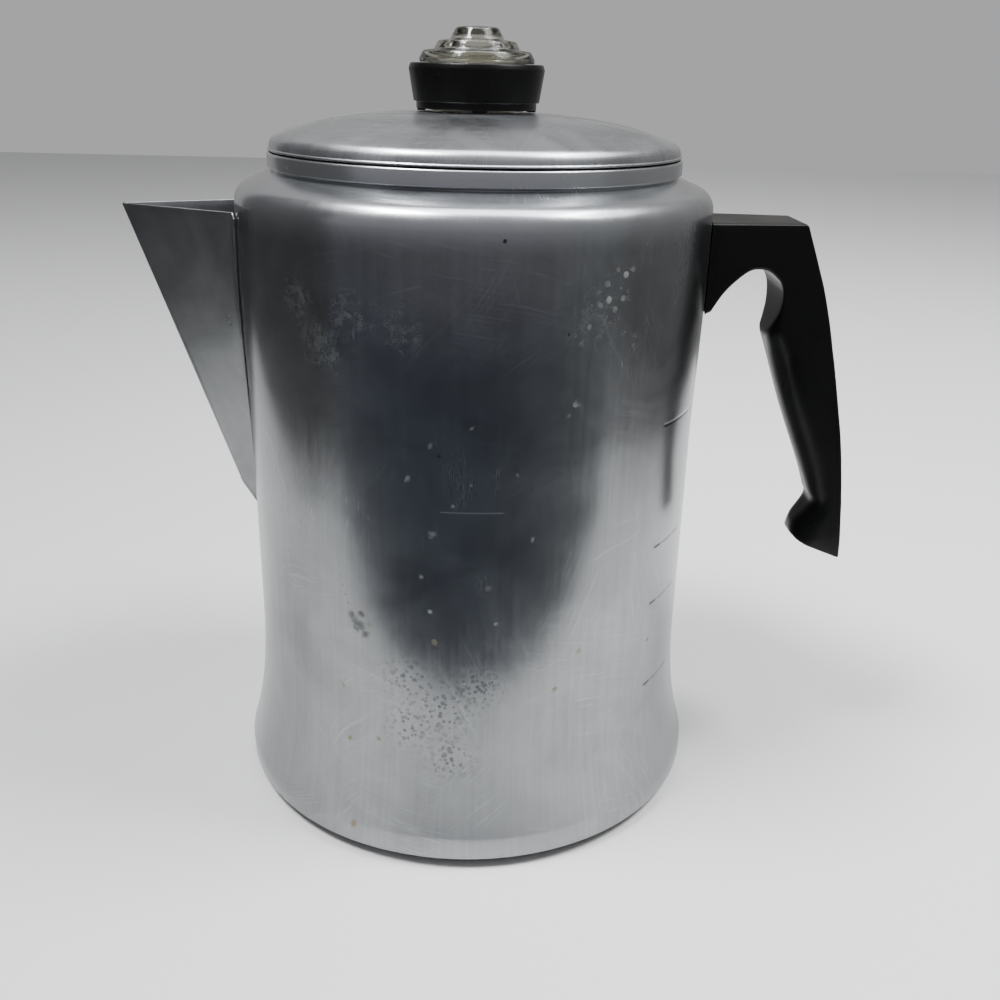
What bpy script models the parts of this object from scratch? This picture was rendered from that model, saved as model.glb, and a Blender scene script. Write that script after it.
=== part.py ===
"""Stovetop coffee percolator: pot, spout, bolted handle, lid with a bayonet glass knob,
coffee basket and pump, each sub-part its own solid.

The origin is the centre of the flat base, +Z up, handle towards +X and spout towards -X.
Sizes are in millimetres and become Blender's metres in to_metres().
"""
from math import asin, cos, pi, radians, sin, sqrt

import bmesh
import bpy
from mathutils import Matrix, Vector

# ---------------------------------------------------------------- driving dimensions, mm
GAP = 0.3                 # clearance between neighbouring solids
POT_STEPS = 48            # facets round the pot and the lid
BASKET_STEPS = 36

WALL_R = 80.6             # straight part of the wall
WALL_TOP_R = 81.6         # wall under the shoulder
BASE_R = 87.6             # widest radius of the flared skirt
CURL_R = 4.6              # the skirt's lower edge curls under to the flat base
SKIRT_LOW, SKIRT_TOP = 9.6, 66.1
SKIRT_POWER = 2.5
WIDEN_FROM, WIDEN_TO = 129.7, 194.7
SHEET = 1.2               # pot's sheet
FLOOR = 1.6
SHOULDER_Z, SHOULDER_R = 213.7, 9.0
SHOULDER_SLOPE = 20.0     # degrees
NECK_R, NECK_Z = 68.5, 225.3
RIM_R, RIM_TOP, RIM_BAND = 70.2, 230.9, 4.8
MOUTH_R = 67.3

DOME_TOP, DOME_DROP, DOME_POWER = 244.1, 9.0, 3.2
LID_R, LID_CORNER = 69.8, 4.4
LID_SHEET = 1.0
LID_SEAT = RIM_TOP + 0.4
PLUG_R, PLUG_LOW = 66.7, 219.3
KNOB_HOLE_R, NOTCH_R, LUG_R = 16.5, 19.0, 18.4
LUG_WIDTH, NOTCH_WIDTH, NOTCH_TURN = 7.0, 8.4, 60.0
COLLAR_LOW, COLLAR_TOP = 245.5, 259.1
KNOB_LOW, KNOB_BORE, KNOB_NECK_R, COLLAR_BORE = 240.1, 13.2, 15.9, 16.3

SPOUT_SHEET = 0.8
SPOUT_TOP, SPOUT_LOW = 212.0, 102.0
TIP_X, KEEL_LOW_X, KEEL_LOW_Z = 121.3, 87.3, 109.7
CREASE_ANGLE, CREASE_LOW = 14.7, 0.9    # degrees either side of the keel, top and bottom
FLANGE, KEEL_NOSE = 4.0, 1.2

STEM_R, STEM_BORE = 4.75, 3.95
STEM_TOP, STEM_LOW = 236.7, 19.5
FOOT_R = 35.2
STOP_TOP = 153.7
BASKET_FLOOR, BASKET_TOP = 156.2, 216.7
BASKET_R, BASKET_LOW_R, BASKET_FLANGE_R = 60.6, 53.5, 63.0
THIN_SHEET = 0.8

SCREW_Z = 201.7           # height of the handle's screw
SCREW_R, SCREW_HEAD_R = 2.0, 3.8
NOSE_X = 94.0             # outer face of the stirrup's nose
HEAD_SEAT_X = 111.0       # floor of the counterbore
RIVET_Y, RIVET_R, RIVET_HEAD_R = 8.8, 1.5, 2.4
HANDLE_EDGE = 1.0         # rounding of the handle's outer edges

MATERIALS = {             # colour, metallic, roughness
    "aluminium": ((0.62, 0.63, 0.64, 1), 1.0, 0.34),
    "spout_aluminium": ((0.45, 0.46, 0.47, 1), 1.0, 0.42),
    "phenolic": ((0.012, 0.012, 0.013, 1), 0.0, 0.32),
    "glass": ((0.80, 0.80, 0.72, 1), 0.0, 0.05),
    "rubber": ((0.05, 0.05, 0.05, 1), 0.0, 0.8),
    "steel": ((0.50, 0.50, 0.52, 1), 1.0, 0.3),
}


# ---------------------------------------------------------------- helpers
def to_metres(value):
    return value / 1000.0


def pot_radius(z):
    """Outer radius of the pot's wall at height z."""
    low = min(max((SKIRT_TOP - z) / (SKIRT_TOP - SKIRT_LOW), 0.0), 1.0)
    high = min(max((z - WIDEN_FROM) / (WIDEN_TO - WIDEN_FROM), 0.0), 1.0)
    rise = high * high * (3 - 2 * high)
    return WALL_R + (BASE_R - WALL_R) * low ** SKIRT_POWER + (WALL_TOP_R - WALL_R) * rise


def dome_z(r):
    """Height of the lid's outer surface at radius r."""
    return DOME_TOP - DOME_DROP * (r / LID_R) ** DOME_POWER


def arc(centre_r, centre_z, radius, start, end, count):
    """Points on an arc, with its angles in degrees from +r towards +z."""
    points = []
    for i in range(count + 1):
        a = radians(start + (end - start) * i / count)
        points.append((centre_r + radius * cos(a), centre_z + radius * sin(a)))
    return points


def make_collections():
    for obj in list(bpy.data.objects):
        bpy.data.objects.remove(obj, do_unlink=True)
    found = []
    for name in ("coffee_percolator", "cutters"):
        collection = bpy.data.collections.new(name)
        bpy.context.scene.collection.children.link(collection)
        found.append(collection)
    return found


def make_materials():
    made = {}
    for name, (colour, metallic, roughness) in MATERIALS.items():
        material = bpy.data.materials.new(name)
        material.use_nodes = True
        shader = material.node_tree.nodes["Principled BSDF"]
        shader.inputs["Base Color"].default_value = colour
        shader.inputs["Metallic"].default_value = metallic
        shader.inputs["Roughness"].default_value = roughness
        material.diffuse_color = colour
        made[name] = material
    return made


def add_object(name, mesh, material):
    """Link a mesh as a named sub-part with its own copy of a material."""
    own = MADE[material].copy()
    own.name = name
    mesh.materials.append(own)
    mesh.shade_smooth()
    obj = bpy.data.objects.new(name, mesh)
    PARTS.objects.link(obj)
    return obj


def turned(name, material, profile, steps, closed=False, sheet=None):
    """Turn a profile of (r, z) round Z. A closed profile is a ring and a sheet is a shell."""
    mesh = bpy.data.meshes.new(name)
    verts = [(to_metres(r), 0, to_metres(z)) for r, z in profile]
    edges = [(i, i + 1) for i in range(len(verts) - 1)]
    if closed:
        edges.append((len(verts) - 1, 0))
    mesh.from_pydata(verts, edges, [])
    obj = add_object(name, mesh, material)
    screw = obj.modifiers.new("Turn", "SCREW")
    screw.steps = screw.render_steps = steps
    screw.use_merge_vertices = True
    screw.merge_threshold = 0.00001
    if sheet:
        solidify(obj, sheet)
    return obj


def solidify(obj, sheet):
    """Give a surface its thickness on the side away from its normals."""
    thick = obj.modifiers.new("Sheet", "SOLIDIFY")
    thick.thickness = to_metres(sheet)
    thick.offset = -1
    thick.use_even_offset = True


def boolean(obj, mesh, operation="DIFFERENCE"):
    """Cut or join with a mesh, whose object is hidden among the cutters."""
    tool = bpy.data.objects.new(mesh.name, mesh)
    tool.hide_render = True
    tool.display_type = "WIRE"
    CUTTERS.objects.link(tool)
    modifier = obj.modifiers.new(operation.title(), "BOOLEAN")
    modifier.operation = operation
    modifier.solver = "EXACT"
    modifier.object = tool


def mesh_from(name, bm):
    mesh = bpy.data.meshes.new(name)
    bm.to_mesh(mesh)
    bm.free()
    return mesh


def placed(centre, axis):
    """A matrix that takes local Z to an axis, at a centre in mm."""
    turn = Vector(axis).to_track_quat("Z", "Y").to_matrix().to_4x4()
    return Matrix.Translation([to_metres(c) for c in centre]) @ turn


def rods(name, places, radius, length, segments):
    """A mesh of several cylinders: places holds (centre, axis)."""
    bm = bmesh.new()
    for centre, axis in places:
        bmesh.ops.create_cone(bm, cap_ends=True, segments=segments, radius1=to_metres(radius),
                              radius2=to_metres(radius), depth=to_metres(length),
                              matrix=placed(centre, axis))
    return mesh_from(name, bm)


def blocks(name, boxes):
    """A mesh of several boxes: boxes holds (centre, size, turn about Z in degrees)."""
    bm = bmesh.new()
    for centre, size, turn in boxes:
        scale = Matrix.Diagonal([to_metres(s) for s in size] + [1])
        place = Matrix.Translation([to_metres(c) for c in centre])
        spin = Matrix.Rotation(radians(turn), 4, "Z")
        bmesh.ops.create_cube(bm, size=1, matrix=spin @ place @ scale)
    return mesh_from(name, bm)


def surface(name, material, rows):
    """An open surface through rows of points in mm, each row as long as the next."""
    mesh = bpy.data.meshes.new(name)
    width = len(rows[0])
    verts = [[to_metres(c) for c in point] for row in rows for point in row]
    faces = []
    for j in range(len(rows) - 1):
        for i in range(width - 1):
            a = j * width + i
            faces.append((a, a + 1, a + width + 1, a + width))
    mesh.from_pydata(verts, [], faces)
    return add_object(name, mesh, material)


# ---------------------------------------------------------------- pot and spout
def pot_profile():
    """From the middle of the floor's top, up inside, over the rim and down to the base."""
    wall_heights = (WIDEN_TO, 162.7, WIDEN_FROM, SKIRT_TOP, 47, 32, 20, SKIRT_LOW)
    corner_r = WALL_TOP_R - SHOULDER_R
    steep = 90 - SHOULDER_SLOPE
    line = [(0, FLOOR), (BASE_R - CURL_R, FLOOR), (BASE_R - SHEET - 0.8, FLOOR + 1.2)]
    line += [(pot_radius(z) - SHEET, z) for z in reversed(wall_heights)]
    line += arc(corner_r, SHOULDER_Z, SHOULDER_R - SHEET, 0, steep, 4)
    line += [(NECK_R, NECK_Z - 2.4), (MOUTH_R, NECK_Z - 1.6), (MOUTH_R, RIM_TOP - 0.8)]
    line += [(NECK_R - 0.4, RIM_TOP), (RIM_R - 0.6, RIM_TOP - 0.1), (RIM_R, RIM_TOP - 0.8)]
    line += [(RIM_R, RIM_TOP - RIM_BAND + 0.5), (RIM_R - 0.6, RIM_TOP - RIM_BAND)]
    line += [(NECK_R, NECK_Z), (NECK_R + 1.4, NECK_Z - 1.0)]
    line += arc(corner_r, SHOULDER_Z, SHOULDER_R, steep, 0, 4)
    line += [(pot_radius(z), z) for z in wall_heights]
    return line + arc(BASE_R - CURL_R, CURL_R, CURL_R, 0, -90, 4) + [(0, 0)]


def wall_place(angle, z):
    """A point on the upper wall and the wall's direction there."""
    return (WALL_TOP_R * cos(angle), WALL_TOP_R * sin(angle), z), (cos(angle), sin(angle), 0)


def strainer_places():
    """Rows of holes behind the spout, fewer to a row towards its lower end."""
    places = []
    for row, count in enumerate((5, 4, 3, 2, 1, 1, 1)):
        for i in range(count):
            across = (i - (count - 1) / 2) * 8.4
            places.append(wall_place(pi + asin(across / WALL_R), SCREW_Z - 1 - 12 * row))
    return places


def rivet_angles():
    return [asin(side * RIVET_Y / WALL_TOP_R) for side in (-1, 1)]


def make_pot():
    pot = turned("pot_body", "aluminium", pot_profile(), POT_STEPS)
    boolean(pot, rods("strainer_cutter", strainer_places(), 1.8, 12, 8))
    holes = [wall_place(angle, SCREW_Z) for angle in rivet_angles()]
    boolean(pot, rods("rivet_hole_cutter", holes, RIVET_R + GAP, 12, 12))


def spout_row(z):
    """The spout's inner surface at height z, flange to flange, a gap and a sheet off the wall."""
    wall = pot_radius(z) + GAP + SPOUT_SHEET
    up = (z - SPOUT_LOW) / (SPOUT_TOP - SPOUT_LOW)
    keel = KEEL_LOW_X + (TIP_X - KEEL_LOW_X) * (z - KEEL_LOW_Z) / (SPOUT_TOP - KEEL_LOW_Z)
    if z < KEEL_LOW_Z:
        foot = wall + KEEL_NOSE
        keel = foot + (KEEL_LOW_X - foot) * (z - SPOUT_LOW) / (KEEL_LOW_Z - SPOUT_LOW)
    crease = radians(CREASE_LOW + (CREASE_ANGLE - CREASE_LOW) * up)
    flange = crease + (0.35 + 0.65 * up) * FLANGE / wall
    half = [(wall * cos(flange), wall * sin(flange)), (wall * cos(crease), wall * sin(crease))]
    nose = 0.35 + 0.75 * up
    half.append((keel - nose * 0.8, nose))
    row = [(-x, y, z) for x, y in half] + [(-keel, 0, z)]
    return row + [(-x, -y, z) for x, y in reversed(half)]


def make_spout():
    heights = [SPOUT_TOP, 190, 168, 146, 127, KEEL_LOW_Z, 105.5, SPOUT_LOW]
    spout = surface("spout", "spout_aluminium", [spout_row(z) for z in heights])
    solidify(spout, SPOUT_SHEET)


# ---------------------------------------------------------------- handle and its fixing
def handle_stations():
    """Outer and inner point, half width and inner rounding at each station, wall to tip."""
    return [
        ((84.0, 210.8), (84.0, 184.2), 15.6, 1.2), ((91.0, 210.8), (91.0, 191.5), 15.0, 1.2),
        ((99.0, 210.8), (98.7, 195.4), 14.3, 1.2), ((107.5, 210.8), (103.8, 193.8), 13.4, 1.2),
        ((113.8, 210.8), (106.4, 191.5), 12.7, 1.2), ((115.5, 207.4), (107.8, 188.8), 12.5, 1.2),
        ((118.2, 200.8), (108.4, 185.1), 12.1, 1.6), ((122.6, 189.6), (108.1, 179.6), 11.5, 3.0),
        ((126.1, 178.9), (106.0, 172.6), 11.0, 5.0), ((129.3, 166.7), (107.7, 164.7), 10.7, 8.0),
        ((131.1, 159.6), (110.4, 156.4), 10.6, 9.4), ((134.4, 145.2), (115.5, 143.1), 10.4, 9.6),
        ((137.1, 132.9), (120.3, 131.8), 10.3, 9.6), ((139.9, 115.2), (127.4, 114.5), 10.3, 7.6),
        ((140.8, 107.8), (130.3, 107.8), 10.3, 6.0), ((141.3, 103.5), (129.1, 103.5), 10.3, 7.0),
        ((142.0, 97.9), (125.3, 98.1), 10.3, 9.0), ((142.5, 93.3), (124.4, 93.2), 10.3, 9.0),
        ((143.0, 86.2), (125.2, 91.0), 10.2, 7.0), ((141.4, 83.8), (127.4, 89.8), 10.0, 4.0),
    ]


def corner_rows(half, radius):
    """Half a section's edge: (across, depth) from the side face round to the middle."""
    rows = [(-half, radius), (-half + 0.29 * radius, 0.29 * radius), (-half + radius, 0), (0, 0)]
    return rows + [(-y, drop) for y, drop in reversed(rows[:3])]


def handle_ring(outer, inner, half, inner_round):
    """A rounded section between two points of the side view, as a closed ring."""
    length = sqrt((outer[0] - inner[0]) ** 2 + (outer[1] - inner[1]) ** 2)
    toward = [(inner[i] - outer[i]) / length for i in (0, 1)]
    ring = [(outer[0] + toward[0] * d, y, outer[1] + toward[1] * d)
            for y, d in corner_rows(half, HANDLE_EDGE)]
    ring += [(inner[0] - toward[0] * d, y, inner[1] - toward[1] * d)
             for y, d in reversed(corner_rows(half, inner_round))]
    return ring


def wall_ring():
    """The handle's end, bent to the wall that it bears on."""
    ring = handle_ring((82, 210.8), (82, 179.6), 16.0, 1.2)
    reach = WALL_TOP_R + GAP + 0.15
    return [(sqrt(reach ** 2 - y * y), y, z) for _, y, z in ring]


def handle_mesh():
    """A loft through the sections, with end caps in strips across the width."""
    rings = [wall_ring()] + [handle_ring(*station) for station in handle_stations()]
    count = len(rings[0])
    half = count // 2
    faces = []
    for j in range(len(rings) - 1):
        for i in range(count):
            k = (i + 1) % count
            faces.append((j * count + i, j * count + k, (j + 1) * count + k, (j + 1) * count + i))
    last = (len(rings) - 1) * count
    for i in range(half - 1):
        faces.append((i, count - 1 - i, count - 2 - i, i + 1))
        faces.append((last + i, last + i + 1, last + count - 2 - i, last + count - 1 - i))
    mesh = bpy.data.meshes.new("handle")
    verts = [[to_metres(c) for c in point] for ring in rings for point in ring]
    mesh.from_pydata(verts, [], faces)
    return mesh


def make_handle():
    handle = add_object("handle", handle_mesh(), "phenolic")
    pocket_low, pocket_high = SCREW_Z - 5.7, SCREW_Z + 5.7
    middle = (pocket_low + pocket_high) / 2
    pocket = [((87.2, 0, middle), (2 * (NOSE_X + 0.4 - 87.2), 25.2, 11.4), 0)]
    boolean(handle, blocks("pocket_cutter", pocket))
    along = (1, 0, 0)
    boolean(handle, rods("screw_hole_cutter", [((104, 0, SCREW_Z), along)], 2.6, 24, 16))
    bore = rods("counterbore_cutter", [((HEAD_SEAT_X + 6, 0, SCREW_Z), along)], 5.0, 12, 20)
    boolean(handle, bore)


def make_bracket():
    """A strip bent as a stirrup: two feet on the wall and a nose for the screw."""
    foot = WALL_TOP_R + GAP + 1.5
    plan = [(sqrt(foot ** 2 - y * y), y) for y in (11.6, 9.0, 6.2)] + [(NOSE_X, 5.0)]
    plan += [(x, -y) for x, y in reversed(plan)]
    rows = [[(x, y, SCREW_Z + rise) for x, y in plan] for rise in (-5.0, 5.0)]
    bracket = surface("handle_bracket", "steel", rows)
    bracket.data.flip_normals()
    solidify(bracket, 1.5)
    boolean(bracket, rods("nose_hole_cutter", [((NOSE_X, 0, SCREW_Z), (1, 0, 0))], 2.4, 8, 16))
    holes = [wall_place(angle, SCREW_Z) for angle in rivet_angles()]
    boolean(bracket, rods("foot_hole_cutter", holes, RIVET_R + GAP, 8, 12))


def along_axis(obj, centre, axis):
    obj.matrix_world = placed(centre, axis)


def make_rivets():
    """Domed heads inside the pot and on the bracket's feet."""
    outside = 1.5 + 2 * GAP
    inside = -SHEET - GAP
    profile = [(0, outside + 1.0), (1.6, outside + 0.8), (RIVET_HEAD_R, outside)]
    profile += [(RIVET_R, outside), (RIVET_R, inside), (RIVET_HEAD_R, inside)]
    profile += [(1.6, inside - 0.8), (0, inside - 1.0)]
    for name, angle in zip(("bracket_rivet_right", "bracket_rivet_left"), rivet_angles()):
        rivet = turned(name, "aluminium", profile, 12)
        along_axis(rivet, *wall_place(angle, SCREW_Z))


def make_screw():
    shank = HEAD_SEAT_X + 1.5
    profile = [(0, shank + 2.4), (2.4, shank + 2.2), (SCREW_HEAD_R, shank + 1.2)]
    profile += [(SCREW_HEAD_R, shank), (SCREW_R, shank), (SCREW_R, 88.4), (0, 88.0)]
    screw = turned("handle_screw", "steel", profile, 16)
    along_axis(screw, (0, 0, SCREW_Z), (1, 0, 0))
    slot = [((shank + 2.4, 0, SCREW_Z), (1.6, 9.0, 1.1), 0)]
    boolean(screw, blocks("screw_slot_cutter", slot))
    low, high = HEAD_SEAT_X + GAP, shank - GAP
    ring = [(4.2, high), (4.2, low), (2.4, low), (2.4, high)]
    washer = turned("handle_washer", "steel", ring, 16, closed=True)
    along_axis(washer, (0, 0, SCREW_Z), (1, 0, 0))
    square = [(NOSE_X - 3.4, 0, SCREW_Z), (3.0, 7.0, 7.0), 0]
    nut = add_object("handle_nut", blocks("handle_nut", [square]), "steel")
    boolean(nut, rods("nut_hole_cutter", [((NOSE_X, 0, SCREW_Z), (1, 0, 0))], 2.3, 20, 16))


# ---------------------------------------------------------------- lid and knob
def make_lid():
    """Dome, rolled edge and plug of one sheet, with a notched hole for the knob."""
    corner_r, corner_start = LID_R - LID_CORNER, 69.5
    meet_r = corner_r + LID_CORNER * cos(radians(corner_start))
    corner_z = dome_z(meet_r) - LID_CORNER * sin(radians(corner_start))
    outer = [(r, dome_z(r)) for r in (KNOB_HOLE_R, 35, 50, 60)]
    outer += arc(corner_r, corner_z, LID_CORNER, corner_start, 0, 4)
    outer += [(LID_R, LID_SEAT + 0.5), (LID_R - 0.7, LID_SEAT), (PLUG_R + 0.6, LID_SEAT)]
    outer += [(PLUG_R, LID_SEAT - 0.8), (PLUG_R, PLUG_LOW + 2), (PLUG_R - 0.8, PLUG_LOW)]
    lid = turned("lid", "aluminium", outer, POT_STEPS, sheet=LID_SHEET)
    notches = []
    for turn in (NOTCH_TURN + 90, NOTCH_TURN - 90):
        notches.append(((NOTCH_R - 4, 0, DOME_TOP - 1), (8, NOTCH_WIDTH, 8), turn))
    boolean(lid, blocks("notch_cutter", notches))


def make_collar():
    """Phenolic collar, flared upwards, on four small feet."""
    top, low = COLLAR_TOP, COLLAR_LOW
    collar = [(19.6, top), (21.2, top), (22.3, top - 0.7), (22.7, top - 1.6)]
    collar += [(21.0, low + 2.3), (20.2, low + 2.3), (20.2, low)]
    collar += [(COLLAR_BORE, low), (COLLAR_BORE, top - 1.4), (19.6, top - 1.4)]
    ring = turned("knob_collar", "phenolic", collar, 32, closed=True)
    foot_low = dome_z(20.2) + GAP
    foot = (18.4, 0, (foot_low + low + 0.6) / 2)
    size = (2.8, 5.0, low + 0.6 - foot_low)
    feet = [(foot, size, turn) for turn in (0, 90, 180, 270)]
    boolean(ring, blocks("collar_feet", feet), "UNION")


def make_knob():
    """Stepped hollow glass with two lugs, on a gasket in the collar."""
    high, low = COLLAR_TOP - 0.2, COLLAR_TOP - 1.1
    gasket = [(19.2, high), (19.2, low), (COLLAR_BORE, low), (COLLAR_BORE, high)]
    turned("knob_gasket", "rubber", gasket, 32, closed=True)
    seat = COLLAR_TOP + 0.2
    steps = [(0, 11.3), (6.4, 11.2), (7.6, 10.0), (8.9, 7.3), (12.3, 6.9), (13.5, 5.8)]
    steps += [(14.2, 4.2), (17.4, 3.8), (18.9, 2.4), (19.3, 1.0), (19.3, 0), (KNOB_NECK_R, 0)]
    hollow = [(KNOB_BORE, 0.2), (11.4, 3.2), (5.5, 6.0), (0, 7.0)]
    glass = [(r, seat + rise) for r, rise in steps]
    glass += [(KNOB_NECK_R, KNOB_LOW), (KNOB_BORE, KNOB_LOW)]
    glass += [(r, seat + rise) for r, rise in hollow]
    knob = turned("glass_knob", "glass", glass, 32)
    lug_top = dome_z(LUG_R) - LID_SHEET - 1.5 * GAP
    root = (KNOB_BORE + KNOB_NECK_R) / 2
    size = (LUG_R - root, LUG_WIDTH, lug_top - KNOB_LOW)
    centre = ((LUG_R + root) / 2, 0, (lug_top + KNOB_LOW) / 2)
    boolean(knob, blocks("glass_lugs", [(centre, size, turn) for turn in (90, 270)]), "UNION")


# ---------------------------------------------------------------- basket
def ring_places(rings, z):
    """Places of vertical holes: rings holds (radius, count)."""
    places = []
    for k, (radius, count) in enumerate(rings):
        for i in range(count):
            a = 2 * pi * (i + 0.5 * (k % 2)) / count
            places.append(((radius * cos(a), radius * sin(a), z), (0, 0, 1)))
    return places


def make_basket():
    outer = [(BASKET_FLANGE_R, BASKET_TOP), (BASKET_R, BASKET_TOP)]
    outer += [(BASKET_R - 1.0, BASKET_TOP - 8), (BASKET_LOW_R, BASKET_FLOOR + 2.5)]
    outer += [(BASKET_LOW_R - 2.5, BASKET_FLOOR), (STEM_R + 1.7, BASKET_FLOOR)]
    basket = turned("coffee_basket", "aluminium", outer, BASKET_STEPS, sheet=THIN_SHEET)
    holes = ring_places(((17, 8), (28, 12), (40, 16)), BASKET_FLOOR)
    boolean(basket, rods("basket_hole_cutter", holes, 1.4, 6, 6))
    bore, wall, low = STEM_R + 0.4, STEM_R + 1.3, STOP_TOP + 0.4
    top = BASKET_TOP + 1.5
    sleeve = [(wall, top), (wall, low + 1.8), (9.5, low + 1.8), (9.5, low + 0.9)]
    sleeve += [(wall, low), (bore, low), (bore, top)]
    turned("basket_sleeve", "aluminium", sleeve, 20, closed=True)


def make_cover():
    """A dish that rests on the basket's flange, with a collar round the sleeve."""
    seat = BASKET_TOP + THIN_SHEET + GAP
    dish = seat - 3.2
    outer = [(BASKET_FLANGE_R, seat), (59.2, seat), (58.8, dish), (9.0, dish)]
    outer += [(STEM_R + 1.8, dish + 1.0), (STEM_R + 1.8, seat + 2.2)]
    cover = turned("basket_cover", "aluminium", outer, BASKET_STEPS, sheet=THIN_SHEET)
    holes = ring_places(((18, 6), (31, 10), (44, 14)), dish)
    boolean(cover, rods("cover_hole_cutter", holes, 1.4, 6, 6))


# ---------------------------------------------------------------- pump
def make_pump():
    stem = [(STEM_R, STEM_TOP), (STEM_R, STEM_LOW), (STEM_BORE, STEM_LOW)]
    turned("pump_stem", "aluminium", stem + [(STEM_BORE, STEM_TOP)], 20, closed=True)
    stop = [(6.4, STOP_TOP), (7.6, STOP_TOP - 1.2), (6.4, STOP_TOP - 2.6)]
    stop += [(STEM_R + GAP, STOP_TOP - 2.6), (STEM_R + GAP, STOP_TOP)]
    turned("basket_stop", "aluminium", stop, 20, closed=True)
    foot = [(6.1, 28.0), (6.1, 21.5), (8.5, 19.0), (13.5, 17.5), (19.0, 12.5)]
    foot += [(27.0, 7.2), (33.5, 5.4), (FOOT_R, 4.6), (FOOT_R, FLOOR + GAP)]
    bell = turned("pump_foot", "aluminium", foot, 24, sheet=0.9)
    notches = [((0, 0, FLOOR), (cos(a), sin(a), 0)) for a in (pi / 4, 3 * pi / 4)]
    boolean(bell, rods("foot_notch_cutter", notches, 2.6, 90, 12))
    cage = [(14.6, 14.6), (14.6, 11.2), (5.0, 11.2)]
    turned("valve_retainer", "aluminium", cage, 24, sheet=THIN_SHEET)
    low = 11.2 + THIN_SHEET + GAP
    disc = [(0, low + THIN_SHEET), (8.8, low + THIN_SHEET), (8.8, low), (0, low)]
    turned("valve_disc", "steel", disc, 24)


PARTS, CUTTERS = make_collections()
MADE = make_materials()
make_pot()
make_spout()
make_handle()
make_bracket()
make_rivets()
make_screw()
make_lid()
make_collar()
make_knob()
make_basket()
make_cover()
make_pump()
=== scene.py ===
"""Looks of a worn aluminium coffee percolator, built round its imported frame.

Shapes are written in millimetres, like the frame's own boxes once box_mm() has read them,
and become Blender's metres in place(). The handle points to +X and the spout to -X.
"""
from math import asin, atan2, ceil, cos, pi, radians, sin, sqrt

import bmesh
import bpy
import numpy as np
from mathutils import Matrix, Vector, noise


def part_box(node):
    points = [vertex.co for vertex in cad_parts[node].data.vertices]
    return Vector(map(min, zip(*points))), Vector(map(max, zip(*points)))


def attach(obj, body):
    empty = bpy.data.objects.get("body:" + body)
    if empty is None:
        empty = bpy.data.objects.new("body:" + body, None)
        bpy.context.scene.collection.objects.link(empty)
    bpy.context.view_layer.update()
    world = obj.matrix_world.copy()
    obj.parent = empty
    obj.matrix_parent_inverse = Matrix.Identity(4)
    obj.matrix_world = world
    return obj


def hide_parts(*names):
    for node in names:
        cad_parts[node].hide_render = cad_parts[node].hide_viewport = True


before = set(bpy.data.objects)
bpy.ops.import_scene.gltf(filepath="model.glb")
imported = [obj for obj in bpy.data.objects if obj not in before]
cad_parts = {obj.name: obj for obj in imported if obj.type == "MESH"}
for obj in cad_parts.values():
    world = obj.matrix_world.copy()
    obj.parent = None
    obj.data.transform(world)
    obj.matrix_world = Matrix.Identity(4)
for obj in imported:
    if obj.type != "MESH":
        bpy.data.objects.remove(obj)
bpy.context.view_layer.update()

MM = 0.001
FINE = 240               # steps round the large turned pieces


def box_mm(node):
    """Lowest and highest corner of a CAD node, in millimetres."""
    low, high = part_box(node)
    return low / MM, high / MM


# ---------------------------------------------------------------- sizes read from the frame
POT_HIGH = box_mm("pot_body")[1]
BASE_R, RIM_TOP = POT_HIGH.x - 0.1, POT_HIGH.z
WALL_R, WALL_TOP_R = BASE_R - 6.9, BASE_R - 5.9
SKIRT_LOW, SKIRT_TOP, SKIRT_POWER = 9.6, 66.1, 2.5
WIDEN_FROM, WIDEN_TO = 129.7, 194.7
SHEET, FLOOR, THIN = 1.2, 1.6, 0.8       # the wall, the pot's floor and the inner pieces
SHOULDER_Z, SHOULDER_R, SHOULDER_SLOPE = RIM_TOP - 17.2, 9.0, 0.364
NECK_R, NECK_Z = WALL_TOP_R - 13.1, RIM_TOP - 5.6
RIM_R, RIM_BAND, MOUTH_R = NECK_R + 1.7, 4.8, NECK_R - 1.2

LID_LOW, LID_HIGH = box_mm("lid")
LID_R, PLUG_LOW = LID_HIGH.x, LID_LOW.z
LID_SEAT, LID_SHEET, LID_CORNER = RIM_TOP + 0.4, 1.0, 4.4
HOLE_R, NOTCH_R, NOTCH_TURN = 16.5, 19.0, 60.0
DOME_DROP, DOME_POWER = 9.0, 3.2
DOME_TOP = LID_HIGH.z + DOME_DROP * (HOLE_R / LID_R) ** DOME_POWER

SPOUT_LOW, SPOUT_HIGH = box_mm("spout")
TIP_X = -SPOUT_LOW.x - 1.0
KEEL_LOW_X, KEEL_RISE, CREASE, FLANGE, SPOUT_SHEET = 86.5, 7.7, 14.7, 4.0, 0.8
SCREW_Z = (box_mm("handle_screw")[0].z + box_mm("handle_screw")[1].z) / 2
HANDLE_EDGE = 0.9        # rounding of the handle's outer edges
STRAINER_ROWS, STRAINER_PITCH, STRAINER_R = (5, 4, 3, 2, 1, 1, 1), (8.4, 12), 1.8
RIVET_REACH = 8.8        # from the handle's middle to each rivet


# ---------------------------------------------------------------- mesh helpers
def place(point):
    """A point in Blender's metres."""
    return tuple(c * MM for c in point)


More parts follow.
